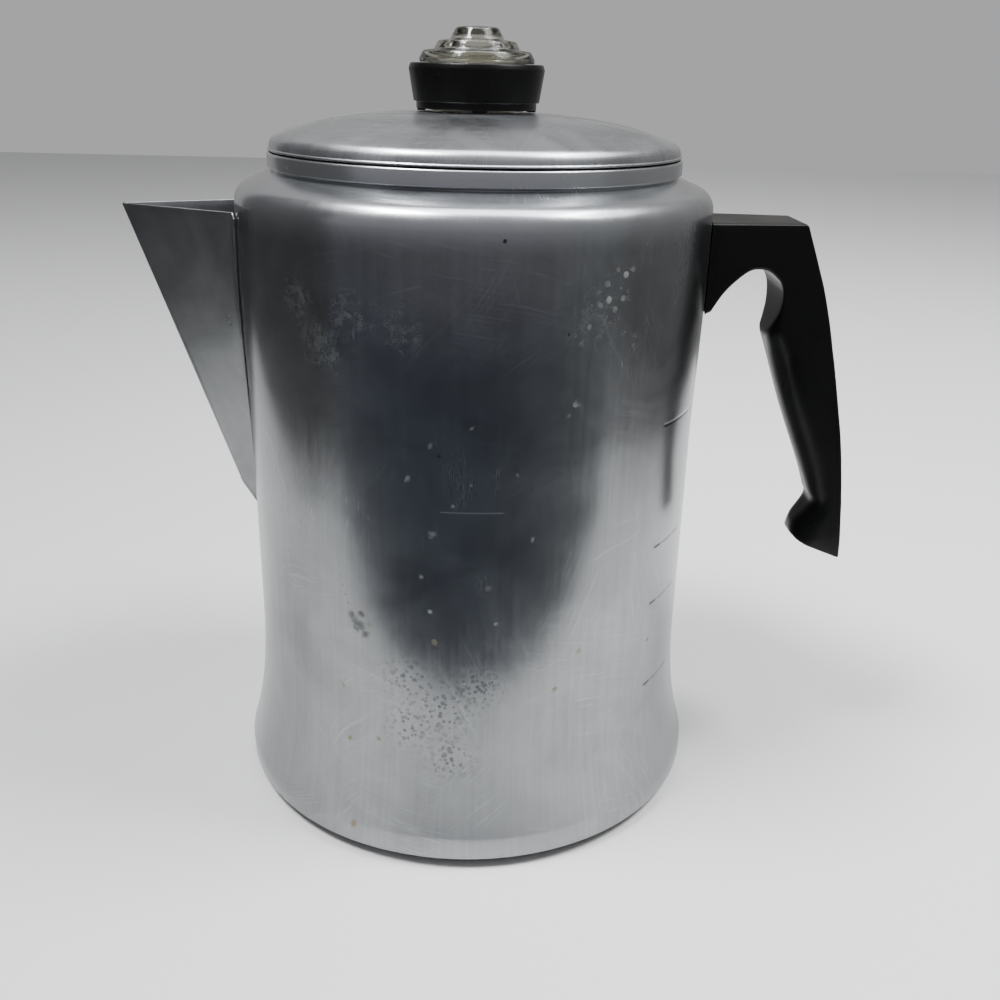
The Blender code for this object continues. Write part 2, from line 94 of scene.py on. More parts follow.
def rounded(points, closed=False, turn=12.0):
    """A line through points, where a third number is the fillet's radius at that corner."""
    count = len(points)
    line = []
    for i, point in enumerate(points):
        here = Vector(point[:2])
        radius = point[2] if len(point) > 2 else 0
        if not radius or (not closed and i in (0, count - 1)):
            line.append(tuple(here))
            continue
        back = Vector(points[i - 1][:2]) - here
        on = Vector(points[(i + 1) % count][:2]) - here
        reach = 0.49 * min(back.length, on.length)
        back.normalize()
        on.normalize()
        half = back.angle(on) / 2
        cut = min(radius / max(np.tan(half), 1e-6), reach)
        radius = cut * np.tan(half)
        centre = here + (back + on).normalized() * (radius / sin(half))
        first = here + back * cut - centre
        sweep = pi - 2 * half
        side = 1 if back.x * on.y - back.y * on.x < 0 else -1
        steps = max(2, ceil(np.degrees(sweep) / turn))
        for k in range(steps + 1):
            a = side * sweep * k / steps
            line.append((centre.x + first.x * cos(a) - first.y * sin(a),
                         centre.y + first.x * sin(a) + first.y * cos(a)))
    return line


def spread(line, longest):
    """The same line with its long stretches divided."""
    out = [line[0]]
    for a, b in zip(line, line[1:]):
        length = sqrt((b[0] - a[0]) ** 2 + (b[1] - a[1]) ** 2)
        parts = max(1, ceil(length / longest))
        for k in range(1, parts + 1):
            out.append((a[0] + (b[0] - a[0]) * k / parts, a[1] + (b[1] - a[1]) * k / parts))
    return out


def inset(line, distance):
    """The line moved to its right by a distance, with mitred corners."""
    out = []
    for i, here in enumerate(line):
        a = Vector(line[max(i - 1, 0)])
        b = Vector(line[min(i + 1, len(line) - 1)])
        before = (Vector(here) - a).normalized() if i else None
        after = (b - Vector(here)).normalized() if i < len(line) - 1 else None
        before = before or after
        after = after or before
        along = (before + after).normalized()
        stretch = 1 / max(along.dot(before), 0.5)
        out.append((here[0] + along.y * distance * stretch, here[1] - along.x * distance * stretch))
    return out


def shell(line, sheet):
    """A closed profile round a sheet whose outer side is the line."""
    return line + inset(line, sheet)[::-1]


def pipe(outer, bore, low, high, edge=0.3):
    """A tube's closed profile with softened edges."""
    corners = [(outer, high), (outer, low), (bore, low), (bore, high)]
    return rounded([(*corner, edge) for corner in corners], closed=True)


def finish_mesh(name, mesh, sharp=32.0):
    """An object in the scene from a mesh, smooth but for its sharp edges."""
    mesh.validate()
    mesh.shade_smooth()
    mesh.set_sharp_from_angle(angle=radians(sharp))
    obj = bpy.data.objects.new(name, mesh)
    bpy.context.scene.collection.objects.link(obj)
    return obj


def turned_mesh(name, line, steps, closed=False):
    """Turn a profile of (r, z) about Z, with UVs in metres round and along the surface."""
    count = len(line)
    angles = [pi + 2 * pi * j / steps for j in range(steps)]
    verts, index = [], []
    for r, z in line:
        if r < 1e-6:
            index.append([len(verts)] * (steps + 1))
            verts.append((0, 0, z * MM))
            continue
        first = len(verts)
        index.append([first + j % steps for j in range(steps + 1)])
        verts += [(r * cos(a) * MM, r * sin(a) * MM, z * MM) for a in angles]
    travel = [0.0]
    for a, b in zip(line, line[1:] + line[:1]):
        travel.append(travel[-1] + sqrt((a[0] - b[0]) ** 2 + (a[1] - b[1]) ** 2) * MM)
    around = 2 * pi * max(r for r, _ in line) * MM
    faces, uvs = [], []
    for i in range(count if closed else count - 1):
        top, low = index[i], index[(i + 1) % count]
        for j in range(steps):
            ring = [(top[j], j, i), (low[j], j, i + 1), (low[j + 1], j + 1, i + 1),
                    (top[j + 1], j + 1, i)]
            seen = []
            for corner in ring:
                if corner[0] not in [s[0] for s in seen]:
                    seen.append(corner)
            faces.append([s[0] for s in seen])
            uvs += [(around * s[1] / steps, travel[s[2]]) for s in seen]
    mesh = bpy.data.meshes.new(name)
    mesh.from_pydata(verts, [], faces)
    layer = mesh.uv_layers.new(name="surface")
    layer.data.foreach_set("uv", np.array(uvs, np.float32).ravel())
    return mesh


def turned(name, line, steps, closed=False, sharp=32.0):
    return finish_mesh(name, turned_mesh(name, line, steps, closed), sharp)


def grid_mesh(name, rows, sheet=None):
    """A surface through rows of points in mm, with a sheet behind its faces when asked."""
    width = len(rows[0])
    verts = [place(point) for row in rows for point in row]
    faces, uvs = [], []
    for j in range(len(rows) - 1):
        for i in range(width - 1):
            a = j * width + i
            corners = (a, a + 1, a + width + 1, a + width)
            faces.append(corners)
            uvs += [(verts[k][1], verts[k][2]) for k in corners]
    mesh = bpy.data.meshes.new(name)
    mesh.from_pydata(verts, [], faces)
    layer = mesh.uv_layers.new(name="surface")
    layer.data.foreach_set("uv", np.array(uvs, np.float32).ravel())
    obj = finish_mesh(name, mesh)
    if sheet:
        thick = obj.modifiers.new("Sheet", "SOLIDIFY")
        thick.thickness = sheet * MM
        thick.offset = -1
        thick.use_even_offset = True
        bake(obj)
    return obj


def bake(obj, sharp=32.0):
    """Apply an object's modifiers to its mesh."""
    bpy.context.view_layer.update()
    graph = bpy.context.evaluated_depsgraph_get()
    mesh = bpy.data.meshes.new_from_object(obj.evaluated_get(graph))
    obj.modifiers.clear()
    obj.data = mesh
    mesh.shade_smooth()
    mesh.set_sharp_from_angle(angle=radians(sharp))


def boolean(obj, mesh, operation="DIFFERENCE", sharp=32.0):
    """Cut a mesh out of an object, or join it on, and apply the result."""
    tool = bpy.data.objects.new("tool", mesh)
    bpy.context.scene.collection.objects.link(tool)
    modifier = obj.modifiers.new("Cut", "BOOLEAN")
    modifier.operation = operation
    modifier.solver = "MANIFOLD"
    modifier.object = tool
    bake(obj, sharp)
    bpy.data.objects.remove(tool)


def along(centre, axis):
    """The matrix that stands a Z-long shape at a centre, along an axis."""
    turn = Vector(axis).to_track_quat("Z", "Y").to_matrix().to_4x4()
    return Matrix.Translation(place(centre)) @ turn


def rods(places, radius, length, segments=24):
    """A mesh of cylinders: places holds (centre, axis)."""
    bm = bmesh.new()
    for centre, axis in places:
        bmesh.ops.create_cone(bm, cap_ends=True, segments=segments, radius1=radius * MM,
                              radius2=radius * MM, depth=length * MM, matrix=along(centre, axis))
    return to_mesh(bm)


def blocks(boxes, bevel=0.0):
    """A mesh of boxes: boxes holds (centre, size, turn about Z in degrees)."""
    bm = bmesh.new()
    for centre, size, turn in boxes:
        spin = Matrix.Rotation(radians(turn), 4, "Z")
        scale = Matrix.Diagonal(list(place(size)) + [1])
        bmesh.ops.create_cube(bm, size=1, matrix=spin @ Matrix.Translation(place(centre)) @ scale)
    if bevel:
        bmesh.ops.bevel(bm, geom=bm.edges[:], offset=bevel * MM, segments=3, affect="EDGES",
                        profile=0.5)
    return to_mesh(bm)


def to_mesh(bm):
    mesh = bpy.data.meshes.new("tool")
    bm.to_mesh(mesh)
    bm.free()
    return mesh


def ripple(obj, amount, size, seed):
    """Push a thin shell in and out a little, the same on both of its sides."""
    shift = Vector((seed * 7.1, seed * 3.3, seed * 5.7))
    for v in obj.data.vertices:
        flat = Vector((v.co.x, v.co.y, 0))
        if flat.length < 1e-6:
            continue
        out = flat.normalized()
        spot = Vector((out.x * WALL_R, out.y * WALL_R, v.co.z / MM)) / size + shift
        v.co += out * (noise.noise(spot) + 0.4 * noise.noise(spot * 2.3)) * amount * MM


# ---------------------------------------------------------------- pot
def pot_radius(z):
    """The wall's outer radius: flared at the skirt and a little wider towards the shoulder."""
    low = min(max((SKIRT_TOP - z) / (SKIRT_TOP - SKIRT_LOW), 0.0), 1.0)
    high = min(max((z - WIDEN_FROM) / (WIDEN_TO - WIDEN_FROM), 0.0), 1.0)
    rise = high * high * (3 - 2 * high)
    return WALL_R + (BASE_R - WALL_R) * low ** SKIRT_POWER + (WALL_TOP_R - WALL_R) * rise


def cone_z(r):
    """Height of the shoulder's outer slope at radius r."""
    return NECK_Z - 1.0 - (r - NECK_R - 1.4) * SHOULDER_SLOPE


def pot_line():
    """From the middle of the floor, up inside, over the rolled rim and down to the base."""
    heights = list(np.arange(SKIRT_LOW, 68, 2.5)) + list(np.arange(70, SHOULDER_Z - 2, 4.0))
    drop = SHEET * sqrt(1 + SHOULDER_SLOPE ** 2)
    inner_r = WALL_TOP_R - SHEET
    line = [(0, FLOOR), (BASE_R - SHEET, FLOOR, 3.4)]
    line += [(pot_radius(z) - SHEET, z) for z in heights]
    line += [(inner_r, cone_z(inner_r) - drop, SHOULDER_R - SHEET)]
    line += [(MOUTH_R, cone_z(MOUTH_R) - drop, 1.5), (MOUTH_R, RIM_TOP - 0.05, 0.9)]
    line += [(RIM_R, RIM_TOP, 0.9), (RIM_R, RIM_TOP - RIM_BAND, 0.5)]
    line += [(NECK_R, cone_z(NECK_R) + 0.3, 0.4)]
    line += [(WALL_TOP_R, cone_z(WALL_TOP_R), SHOULDER_R)]
    line += [(pot_radius(z), z) for z in heights[::-1]]
    line += [(BASE_R, 4.1, 1.3), (BASE_R - 4.4, 0, 2.0), (0, 0)]
    return spread(rounded(line), 3.0)


def on_wall(azimuth, z, rise=0.0):
    """A point on the wall and the way out there; the azimuth is in degrees from +X."""
    a = radians(azimuth)
    r = pot_radius(z) + rise
    return (r * cos(a), r * sin(a), z), (cos(a), sin(a), 0)


def strainer_holes():
    """Rows of holes behind the spout, fewer to a row towards its lower end."""
    across, down = STRAINER_PITCH
    holes = []
    for row, count in enumerate(STRAINER_ROWS):
        for i in range(count):
            turn = np.degrees(asin((i - (count - 1) / 2) * across / WALL_R))
            holes.append(on_wall(180 + turn, SCREW_Z - 1 - down * row))
    return holes


def make_pot(material):
    pot = turned("pot_shell", pot_line(), FINE)
    boolean(pot, rods(strainer_holes(), STRAINER_R, 12))
    reach = np.degrees(asin(RIVET_REACH / WALL_TOP_R))
    boolean(pot, rods([on_wall(side * reach, SCREW_Z) for side in (-1, 1)], STRAINER_R, 12))
    ripple(pot, 0.10, 38, 1)
    dress(pot, material, "pot", "pot_aluminium", "pot_body")


def dress(piece, material, body, slot, *nodes):
    """Give a piece its material and its body, and hide the CAD nodes it stands for. The slot is not
    used.
    """
    piece.data.materials.clear()
    piece.data.materials.append(material)
    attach(piece, body)
    if nodes:
        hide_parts(*nodes)
    return piece


# ---------------------------------------------------------------- spout
def bend(before, corner, after, reach, steps=5):
    """A curve that cuts a corner, with the same number of points whatever its angle."""
    before, corner, after = Vector(before), Vector(corner), Vector(after)
    start = corner + (before - corner).normalized() * min(reach, (before - corner).length / 2)
    end = corner + (after - corner).normalized() * min(reach, (after - corner).length / 2)
    curve = []
    for k in range(steps + 1):
        t = k / steps
        curve.append(tuple(start.lerp(corner, t).lerp(corner.lerp(end, t), t)))
    return curve


def spout_plan(z):
    """Half of the spout's inner outline at height z: flange end, crease, side and nose."""
    wall = pot_radius(z) + 0.3
    up = (z - SPOUT_LOW.z) / (SPOUT_HIGH.z - SPOUT_LOW.z)
    keel_z = SPOUT_LOW.z + KEEL_RISE
    keel = KEEL_LOW_X + (TIP_X - KEEL_LOW_X) * (z - keel_z) / (SPOUT_HIGH.z - keel_z)
    if z < keel_z:
        foot = wall + 0.8
        keel = foot + (KEEL_LOW_X - foot) * (z - SPOUT_LOW.z) / KEEL_RISE
    crease = radians(0.9 + (CREASE - 0.9) * up)
    flange = crease + (0.35 + 0.65 * up) * FLANGE / wall
    end = (wall * cos(flange), wall * sin(flange))
    corner = (wall * cos(crease), wall * sin(crease))
    nose = 0.35 + 0.75 * up
    side = (keel - nose * 1.1, nose * 0.8)
    plan = [end] + bend(end, corner, side, 0.4 + 1.1 * up)
    first, last = Vector(plan[-1]), Vector(side)
    plan += [tuple(first.lerp(last, k / 24)) for k in range(1, 25)]
    for k in range(1, 5):
        a = k * pi / 8
        plan.append((last.x + (keel - last.x) * sin(a), last.y * cos(a)))
    return plan


def spout_row(z):
    """The spout's whole outline at height z, from flange to flange."""
    half = spout_plan(z)
    row = [(-x, y, z) for x, y in half]
    return row + [(-x, -y, z) for x, y in half[-2::-1]]


def make_spout(material):
    """The folded sheet; the flanges' top corners turn down a little and its edges are soft."""
    top, low = SPOUT_HIGH.z, SPOUT_LOW.z
    heights = list(np.linspace(top, low + KEEL_RISE, 44)) + list(np.linspace(low + 7, low, 8))
    rows = [spout_row(z) for z in heights]
    for row, fall in zip(rows, (1.6, 0.8, 0.3)):
        for i, share in enumerate((1.0, 0.6, 0.3, 0.1)):
            for k in (i, -1 - i):
                x, y, z = row[k]
                row[k] = (x, y, z - fall * share)
    spout = grid_mesh("spout_sheet", rows, SPOUT_SHEET)
    bevel = spout.modifiers.new("Edge", "BEVEL")
    bevel.width = 0.36 * MM
    bevel.segments = 3
    bevel.limit_method = "ANGLE"
    bevel.angle_limit = radians(60)
    bevel.use_clamp_overlap = False
    bake(spout)
    dress(spout, material, "pot", "spout_aluminium", "spout")


# ---------------------------------------------------------------- handle
# Outer point, inner point, half width and inner rounding, from the wall to the tip.
ARM = [
    (82.0, 210.8, 82.0, 179.7, 16.0, 1.2), (86.5, 210.8, 86.5, 186.9, 15.5, 1.2),
    (91.0, 210.8, 90.9, 191.5, 15.0, 1.2), (96.5, 210.8, 95.4, 194.8, 14.5, 1.2),
    (102.0, 210.8, 99.5, 195.3, 14.0, 1.2), (107.5, 210.8, 103.0, 194.2, 13.4, 1.2),
    (113.4, 210.8, 106.6, 191.2, 12.8, 1.2),
]
GRIP = [
    (114.4, 210.1, 107.1, 190.5, 12.7, 1.2), (116.2, 205.7, 108.1, 188.0, 12.4, 1.2),
    (118.2, 200.8, 108.5, 184.6, 12.1, 1.3), (120.4, 195.2, 108.4, 181.6, 11.8, 1.8),
    (122.6, 189.6, 107.9, 178.6, 11.5, 2.8), (125.0, 182.4, 106.8, 175.0, 11.1, 4.5),
    (127.2, 174.8, 105.8, 171.2, 10.9, 6.5), (129.2, 166.9, 107.3, 165.9, 10.7, 8.4),
    (131.1, 159.6, 109.6, 159.0, 10.5, 9.4), (134.4, 145.2, 114.5, 145.4, 10.4, 9.7),
    (137.1, 132.9, 119.7, 132.9, 10.3, 9.7), (139.2, 120.2, 125.3, 120.0, 10.3, 9.0),
    (140.5, 110.8, 129.1, 110.4, 10.3, 7.4), (141.0, 107.1, 130.5, 107.4, 10.3, 6.2),
    (141.4, 103.2, 129.4, 103.8, 10.3, 6.8), (142.0, 97.6, 125.5, 98.4, 10.3, 8.6),
    (142.5, 92.8, 124.2, 94.6, 10.3, 8.8), (142.8, 88.4, 124.4, 92.7, 10.2, 7.6),
    (143.0, 84.9, 125.6, 91.6, 10.0, 5.5),
]


def between(values, t):
    """Catmull-Rom through rows of numbers at t, which runs from 0 to the last row."""
    i = min(int(t), len(values) - 2)
    u = t - i
    a, b, c, d = (np.array(values[min(max(k, 0), len(values) - 1)], float)
                  for k in (i - 1, i, i + 1, i + 2))
    return 0.5 * (2 * b + (c - a) * u + (2 * a - 5 * b + 4 * c - d) * u * u
                  + (3 * b - a - 3 * c + d) * u ** 3)


def section(outer, inner, half, inner_round):
    """A rounded section between two points of the side view, as a ring of points."""
    outer, inner = Vector(outer), Vector(inner)
    middle, reach = (outer + inner) / 2, (outer - inner).length / 2
    way = (outer - inner).normalized()
    corners = [(reach, -half, HANDLE_EDGE), (reach, half, HANDLE_EDGE),
               (-reach, half, inner_round), (-reach, -half, inner_round)]
    ring = []
    for a, b, r in corners:
        start = atan2(np.sign(b), np.sign(a)) - pi / 4
        turn = [start + pi / 2 * i / 6 for i in range(7)]
        bow = [(a - np.sign(a) * r + r * cos(t), b - np.sign(b) * r + r * sin(t)) for t in turn]
        if ring:
            ring += [tuple(Vector(ring[-1]).lerp(bow[0], i / 6)) for i in range(1, 6)]
        ring += bow
    ring += [tuple(Vector(ring[-1]).lerp(ring[0], i / 6)) for i in range(1, 6)]
    spots = [(middle + way * a, b) for a, b in ring]
    return [(spot.x, b, spot.y) for spot, b in spots]


def stations(rows, parts=5):
    """Sections through a table's rows, with more of them between each two."""
    rings = []
    for k in range(parts * (len(rows) - 1) + 1):
        x0, z0, x1, z1, half, inner_round = between(rows, k / parts)
        rings.append(section((x0, z0), (x1, z1), half, inner_round))
    return rings


def handle_end(ring):
    """Smaller and smaller rings that round off the handle's lower end."""
    centre = Vector([sum(p[i] for p in ring) / len(ring) for i in range(3)])
    drift = Vector((0.3, 0, -0.95))
    return [[tuple(centre + (Vector(p) - centre) * shrink + drift * ahead) for p in ring]
            for shrink, ahead in ((0.97, 0.45), (0.92, 0.8), (0.84, 1.0), (0.6, 1.1))]


def make_handle(material):
    """Rings from the wall to the tip, joined, with the recess, bore and counterbore cut."""
    rings = stations(ARM) + stations(GRIP)
    rings += handle_end(rings[-1])
    reach = WALL_TOP_R + 0.45
    rings[0] = [(sqrt(reach ** 2 - y * y), y, z) for _, y, z in rings[0]]
    count = len(rings[0])
    verts = [place(p) for ring in rings for p in ring]
    faces = []
    for j in range(len(rings) - 1):
        for i in range(count):
            k = (i + 1) % count
            faces.append((j * count + k, j * count + i, (j + 1) * count + i, (j + 1) * count + k))
    faces.append(list(range(count)))
    faces.append([(len(rings) - 1) * count + i for i in range(count)][::-1])
    mesh = bpy.data.meshes.new("handle_grip")
    mesh.from_pydata(verts, [], faces)
    bm = bmesh.new()
    bm.from_mesh(mesh)
    bmesh.ops.recalc_face_normals(bm, faces=bm.faces)
    bm.to_mesh(mesh)
    bm.free()
    handle = finish_mesh("handle_grip", mesh, 40)
    boolean(handle, blocks([((87.2, 0, SCREW_Z), (14.4, 25.2, 11.4), 0)]))
    boolean(handle, rods([((104, 0, SCREW_Z), (1, 0, 0))], 2.6, 24))
    boolean(handle, rods([((118, 0, SCREW_Z), (1, 0, 0))], 5.0, 14, 48), sharp=40)
    dress(handle, material, "pot", "phenolic", "handle")


# ---------------------------------------------------------------- lid and knob
def dome_z(r):
    """Height of the lid's outer side at radius r."""
    return DOME_TOP - DOME_DROP * (r / LID_R) ** DOME_POWER


def make_lid(material):
    """Dome, rounded edge with a small bead, and plug, of one sheet with the knob's hole."""
    plug_r = LID_R - 3.1
    edge_r, start = LID_R - 0.35, radians(69.5)
    meet = edge_r - LID_CORNER * (1 - cos(start))
    edge_z = dome_z(meet) - LID_CORNER * sin(start)
    line = [(r, dome_z(r)) for r in np.arange(HOLE_R, meet - 1.2, 2.0)]
    for k in range(13):
        a = start * (1 - k / 12)
        line.append((edge_r - LID_CORNER * (1 - cos(a)), edge_z + LID_CORNER * sin(a)))
    line += [(edge_r, LID_SEAT + 0.9, 0.3), (LID_R, LID_SEAT + 0.6, 0.2)]
    line += [(LID_R, LID_SEAT, 0.4), (plug_r, LID_SEAT, 0.6)]
    line += [(plug_r, PLUG_LOW + 2, 2.0), (plug_r - 0.8, PLUG_LOW)]
    lid = turned("lid_dome", shell(rounded(line, turn=10), LID_SHEET), FINE, closed=True)
    notches = [((NOTCH_R - 4, 0, DOME_TOP - 1), (8, 8.4, 8), NOTCH_TURN + side)
               for side in (90, -90)]
    boolean(lid, blocks(notches))
    ripple(lid, 0.05, 30, 5)
    dress(lid, material, "lid", "lid_aluminium", "lid")


def make_knob(black, clear, soft):
    """Phenolic collar on small feet, a thin gasket, and the stepped glass with its lugs."""
    low, high = box_mm("knob_collar")
    bore, top, ring_low = 16.3, high.z, low.z + 0.7
    line = [(19.5, top, 0.25), (22.1, top, 0.8), (22.7, top - 1.7, 0.9),
            (21.1, ring_low + 2.3, 0.25), (20.2, ring_low + 2.3, 0.2), (20.2, ring_low, 0.3),
            (bore, ring_low, 0.3), (bore, top - 1.4, 0.2), (19.5, top - 1.4, 0.2)]
    collar = turned("collar_ring", rounded(line, closed=True), 144, closed=True)
    foot = ((18.5, 0, low.z + 0.7), (2.8, 5.0, 1.3))
    boolean(collar, blocks([(*foot, turn) for turn in (3, 93, 183, 273)], 0.25), "UNION")
    dress(collar, black, "knob", "phenolic", "knob_collar")
    low, high = box_mm("knob_gasket")
    gasket = turned("gasket_ring", pipe(19.1, bore, low.z, high.z), 96, closed=True)
    dress(gasket, soft, "knob", "gasket", "knob_gasket")
    low, high = box_mm("glass_knob")
    seat = top + 0.2
    line = [(0, 11.15), (6.9, 11.0, 1.5), (8.9, 7.3, 0.4), (12.9, 6.7, 1.1), (14.2, 4.2, 0.4),
            (17.9, 3.6, 1.5), (19.2, 1.2, 0.6), (19.2, 0, 0.4), (15.9, 0, 0.4),
            (15.9, low.z - seat, 0.5), (13.2, low.z - seat, 0.4), (13.2, 0.6, 2.2),
            (9.6, 3.6, 2.0), (5.0, 6.2, 2.0), (0, 6.8)]
    line = [(point[0], seat + point[1], *point[2:]) for point in line]
    glass = turned("knob_glass", spread(rounded(line, turn=8), 2.0), 160, sharp=50)
    lug_top = dome_z(18.4) - LID_SHEET - 0.45
    size = (3.8, 7.0, lug_top - low.z)
    lugs = [((16.5, 0, (lug_top + low.z) / 2), size, turn) for turn in (90, 270)]
    boolean(glass, blocks(lugs), "UNION", sharp=50)
    dress(glass, clear, "knob", "glass", "glass_knob")


# ---------------------------------------------------------------- basket, cover and pump
def hole_rings(rings, z):
    """Places of vertical holes: rings holds (radius, count)."""
    places = []
    for k, (radius, count) in enumerate(rings):
        for i in range(count):
            a = 2 * pi * (i + 0.5 * (k % 2)) / count
            places.append(((radius * cos(a), radius * sin(a), z), (0, 0, 1)))
    return places


def make_basket(material):
    """Tapered basket with a pierced floor, and the sleeve swaged through it."""
    low, high = box_mm("coffee_basket")
    top, flange = high.z - THIN, high.x
    line = [(flange, top - 0.9), (flange, top, 0.8), (flange - 2.4, top, 0.9)]
    line += [(flange - 3.4, top - 8, 1.5), (flange - 3.9, top - 9, 1.5)]
    line += [(53.6, low.z + 0.1, 2.6), (14.0, low.z, 2), (12.0, low.z + 0.5, 2), (6.5, low.z + 0.5)]
    basket = turned("basket_shell", shell(rounded(line), THIN), 180, closed=True)
    rings = [(16 + 4.6 * k, 12 + 4 * k) for k in range(8)]
    boolean(basket, rods(hole_rings(rings, low.z), 0.85, 6, 12))
    dress(basket, material, "basket", "inner_aluminium", "coffee_basket")
    low, high = box_mm("basket_sleeve")
    wall = 6.05
    line = [(wall, high.z, 0.3), (wall, low.z + 1.8, 0.6), (9.5, low.z + 1.8, 0.3),
            (9.5, low.z + 0.9, 0.3), (wall, low.z, 0.4), (5.15, low.z, 0.2), (5.15, high.z, 0.3)]
    sleeve = turned("sleeve_tube", rounded(line, closed=True), 72, closed=True)
    dress(sleeve, material, "basket", "inner_aluminium", "basket_sleeve")


def make_cover(material):
    """Shallow pierced dish that hangs in the basket's mouth by its edge."""
    low, high = box_mm("basket_cover")
    seat, edge = low.z + 3.2, high.x
    line = [(edge, seat - 0.6), (edge, seat, 0.5), (59.2, seat, 0.5), (58.8, low.z, 1.2)]
    line += [(50, low.z, 1), (48.5, low.z + 0.8, 1), (12.0, low.z + 0.8, 1), (10.6, low.z, 1)]
    line += [(6.55, low.z, 1.0), (6.55, high.z)]
    cover = turned("cover_dish", shell(rounded(line), THIN), 180, closed=True)
    rings = [(16 + 5.0 * k, 9 + 4 * k) for k in range(7)]
    boolean(cover, rods(hole_rings(rings, low.z + 1), 0.95, 6, 12))
    dress(cover, material, "cover", "inner_aluminium", "basket_cover")


def make_pump(material):
    """Stem, the ring that carries the basket, and the bell with notches under its edge."""
    low, high = box_mm("pump_stem")
    line = spread(pipe(high.x, high.x - THIN, low.z, high.z), 12)
    stem = turned("stem_tube", line, 64, closed=True)
    dress(stem, material, "pump", "inner_aluminium", "pump_stem")
    low, high = box_mm("basket_stop")
    line = [(6.4, high.z, 0.5), (high.x, high.z - 1.2, 0.8), (6.4, low.z, 0.5),
            (5.05, low.z, 0.2), (5.05, high.z, 0.2)]
    stop = turned("stop_ring", rounded(line, closed=True), 64, closed=True)
    dress(stop, material, "pump", "inner_aluminium", "basket_stop")
    low, high = box_mm("pump_foot")
    line = [(6.1, high.z), (6.1, 21.5, 2), (8.5, 19.0, 2), (13.5, 17.5, 2), (19.0, 12.5, 4)]
    line += [(27.0, 7.2, 4), (33.5, 5.4, 3), (high.x, 4.6, 0.8), (high.x, low.z)]
    foot = turned("foot_bell", shell(rounded(line), 0.9), 120, closed=True)
    notches = [((0, 0, FLOOR), (cos(a), sin(a), 0)) for a in (pi / 4, 3 * pi / 4)]
    boolean(foot, rods(notches, 2.6, 90, 32))
    dress(foot, material, "pump", "inner_aluminium", "pump_foot")


def make_valve(material, steel):
    """Cup crimped in the foot, and the loose disc that closes it."""
    low, high = box_mm("valve_retainer")
    line = [(high.x, high.z), (high.x, low.z, 0.8), (5.0, low.z)]
    cage = turned("valve_cage", shell(rounded(line), THIN), 72, closed=True)
    dress(cage, material, "pump", "inner_aluminium", "valve_retainer")
    low, high = box_mm("valve_disc")
    line = [(0, high.z), (high.x, high.z, 0.25), (high.x, low.z, 0.25), (0, low.z)]
    disc = turned("valve_plate", spread(rounded(line), 2), 72)
    dress(disc, steel, "valve", "steel", "valve_disc")


def make_fixings(steel):
    """The screw and washer show in the counterbore; the rest keeps its CAD shape."""
    low, high = box_mm("handle_screw")
    head = high.x - 2.4
    line = [(0, high.x), (2.4, high.x - 0.1, 1.2), (3.8, high.x - 1.1, 0.8), (3.8, head, 0.3),
            (2.0, head), (2.0, low.x + 0.4, 0.3), (0, low.x)]
    screw = turned("screw_pan_head", rounded(line), 48)
    screw.data.transform(along((0, 0, SCREW_Z), (1, 0, 0)))
    boolean(screw, blocks([((high.x, 0, SCREW_Z), (1.9, 9.0, 1.0), 0)]))
    dress(screw, steel, "pot", "steel", "handle_screw")
    low, high = box_mm("handle_washer")
    line = [(2.4, high.x), (high.y, high.x, 0.2), (high.y, low.x, 0.2), (2.4, low.x)]
    washer = turned("screw_washer", rounded(line), 48, closed=True)
    washer.data.transform(along((0, 0, SCREW_Z), (1, 0, 0)))
    dress(washer, steel, "pot", "steel", "handle_washer")


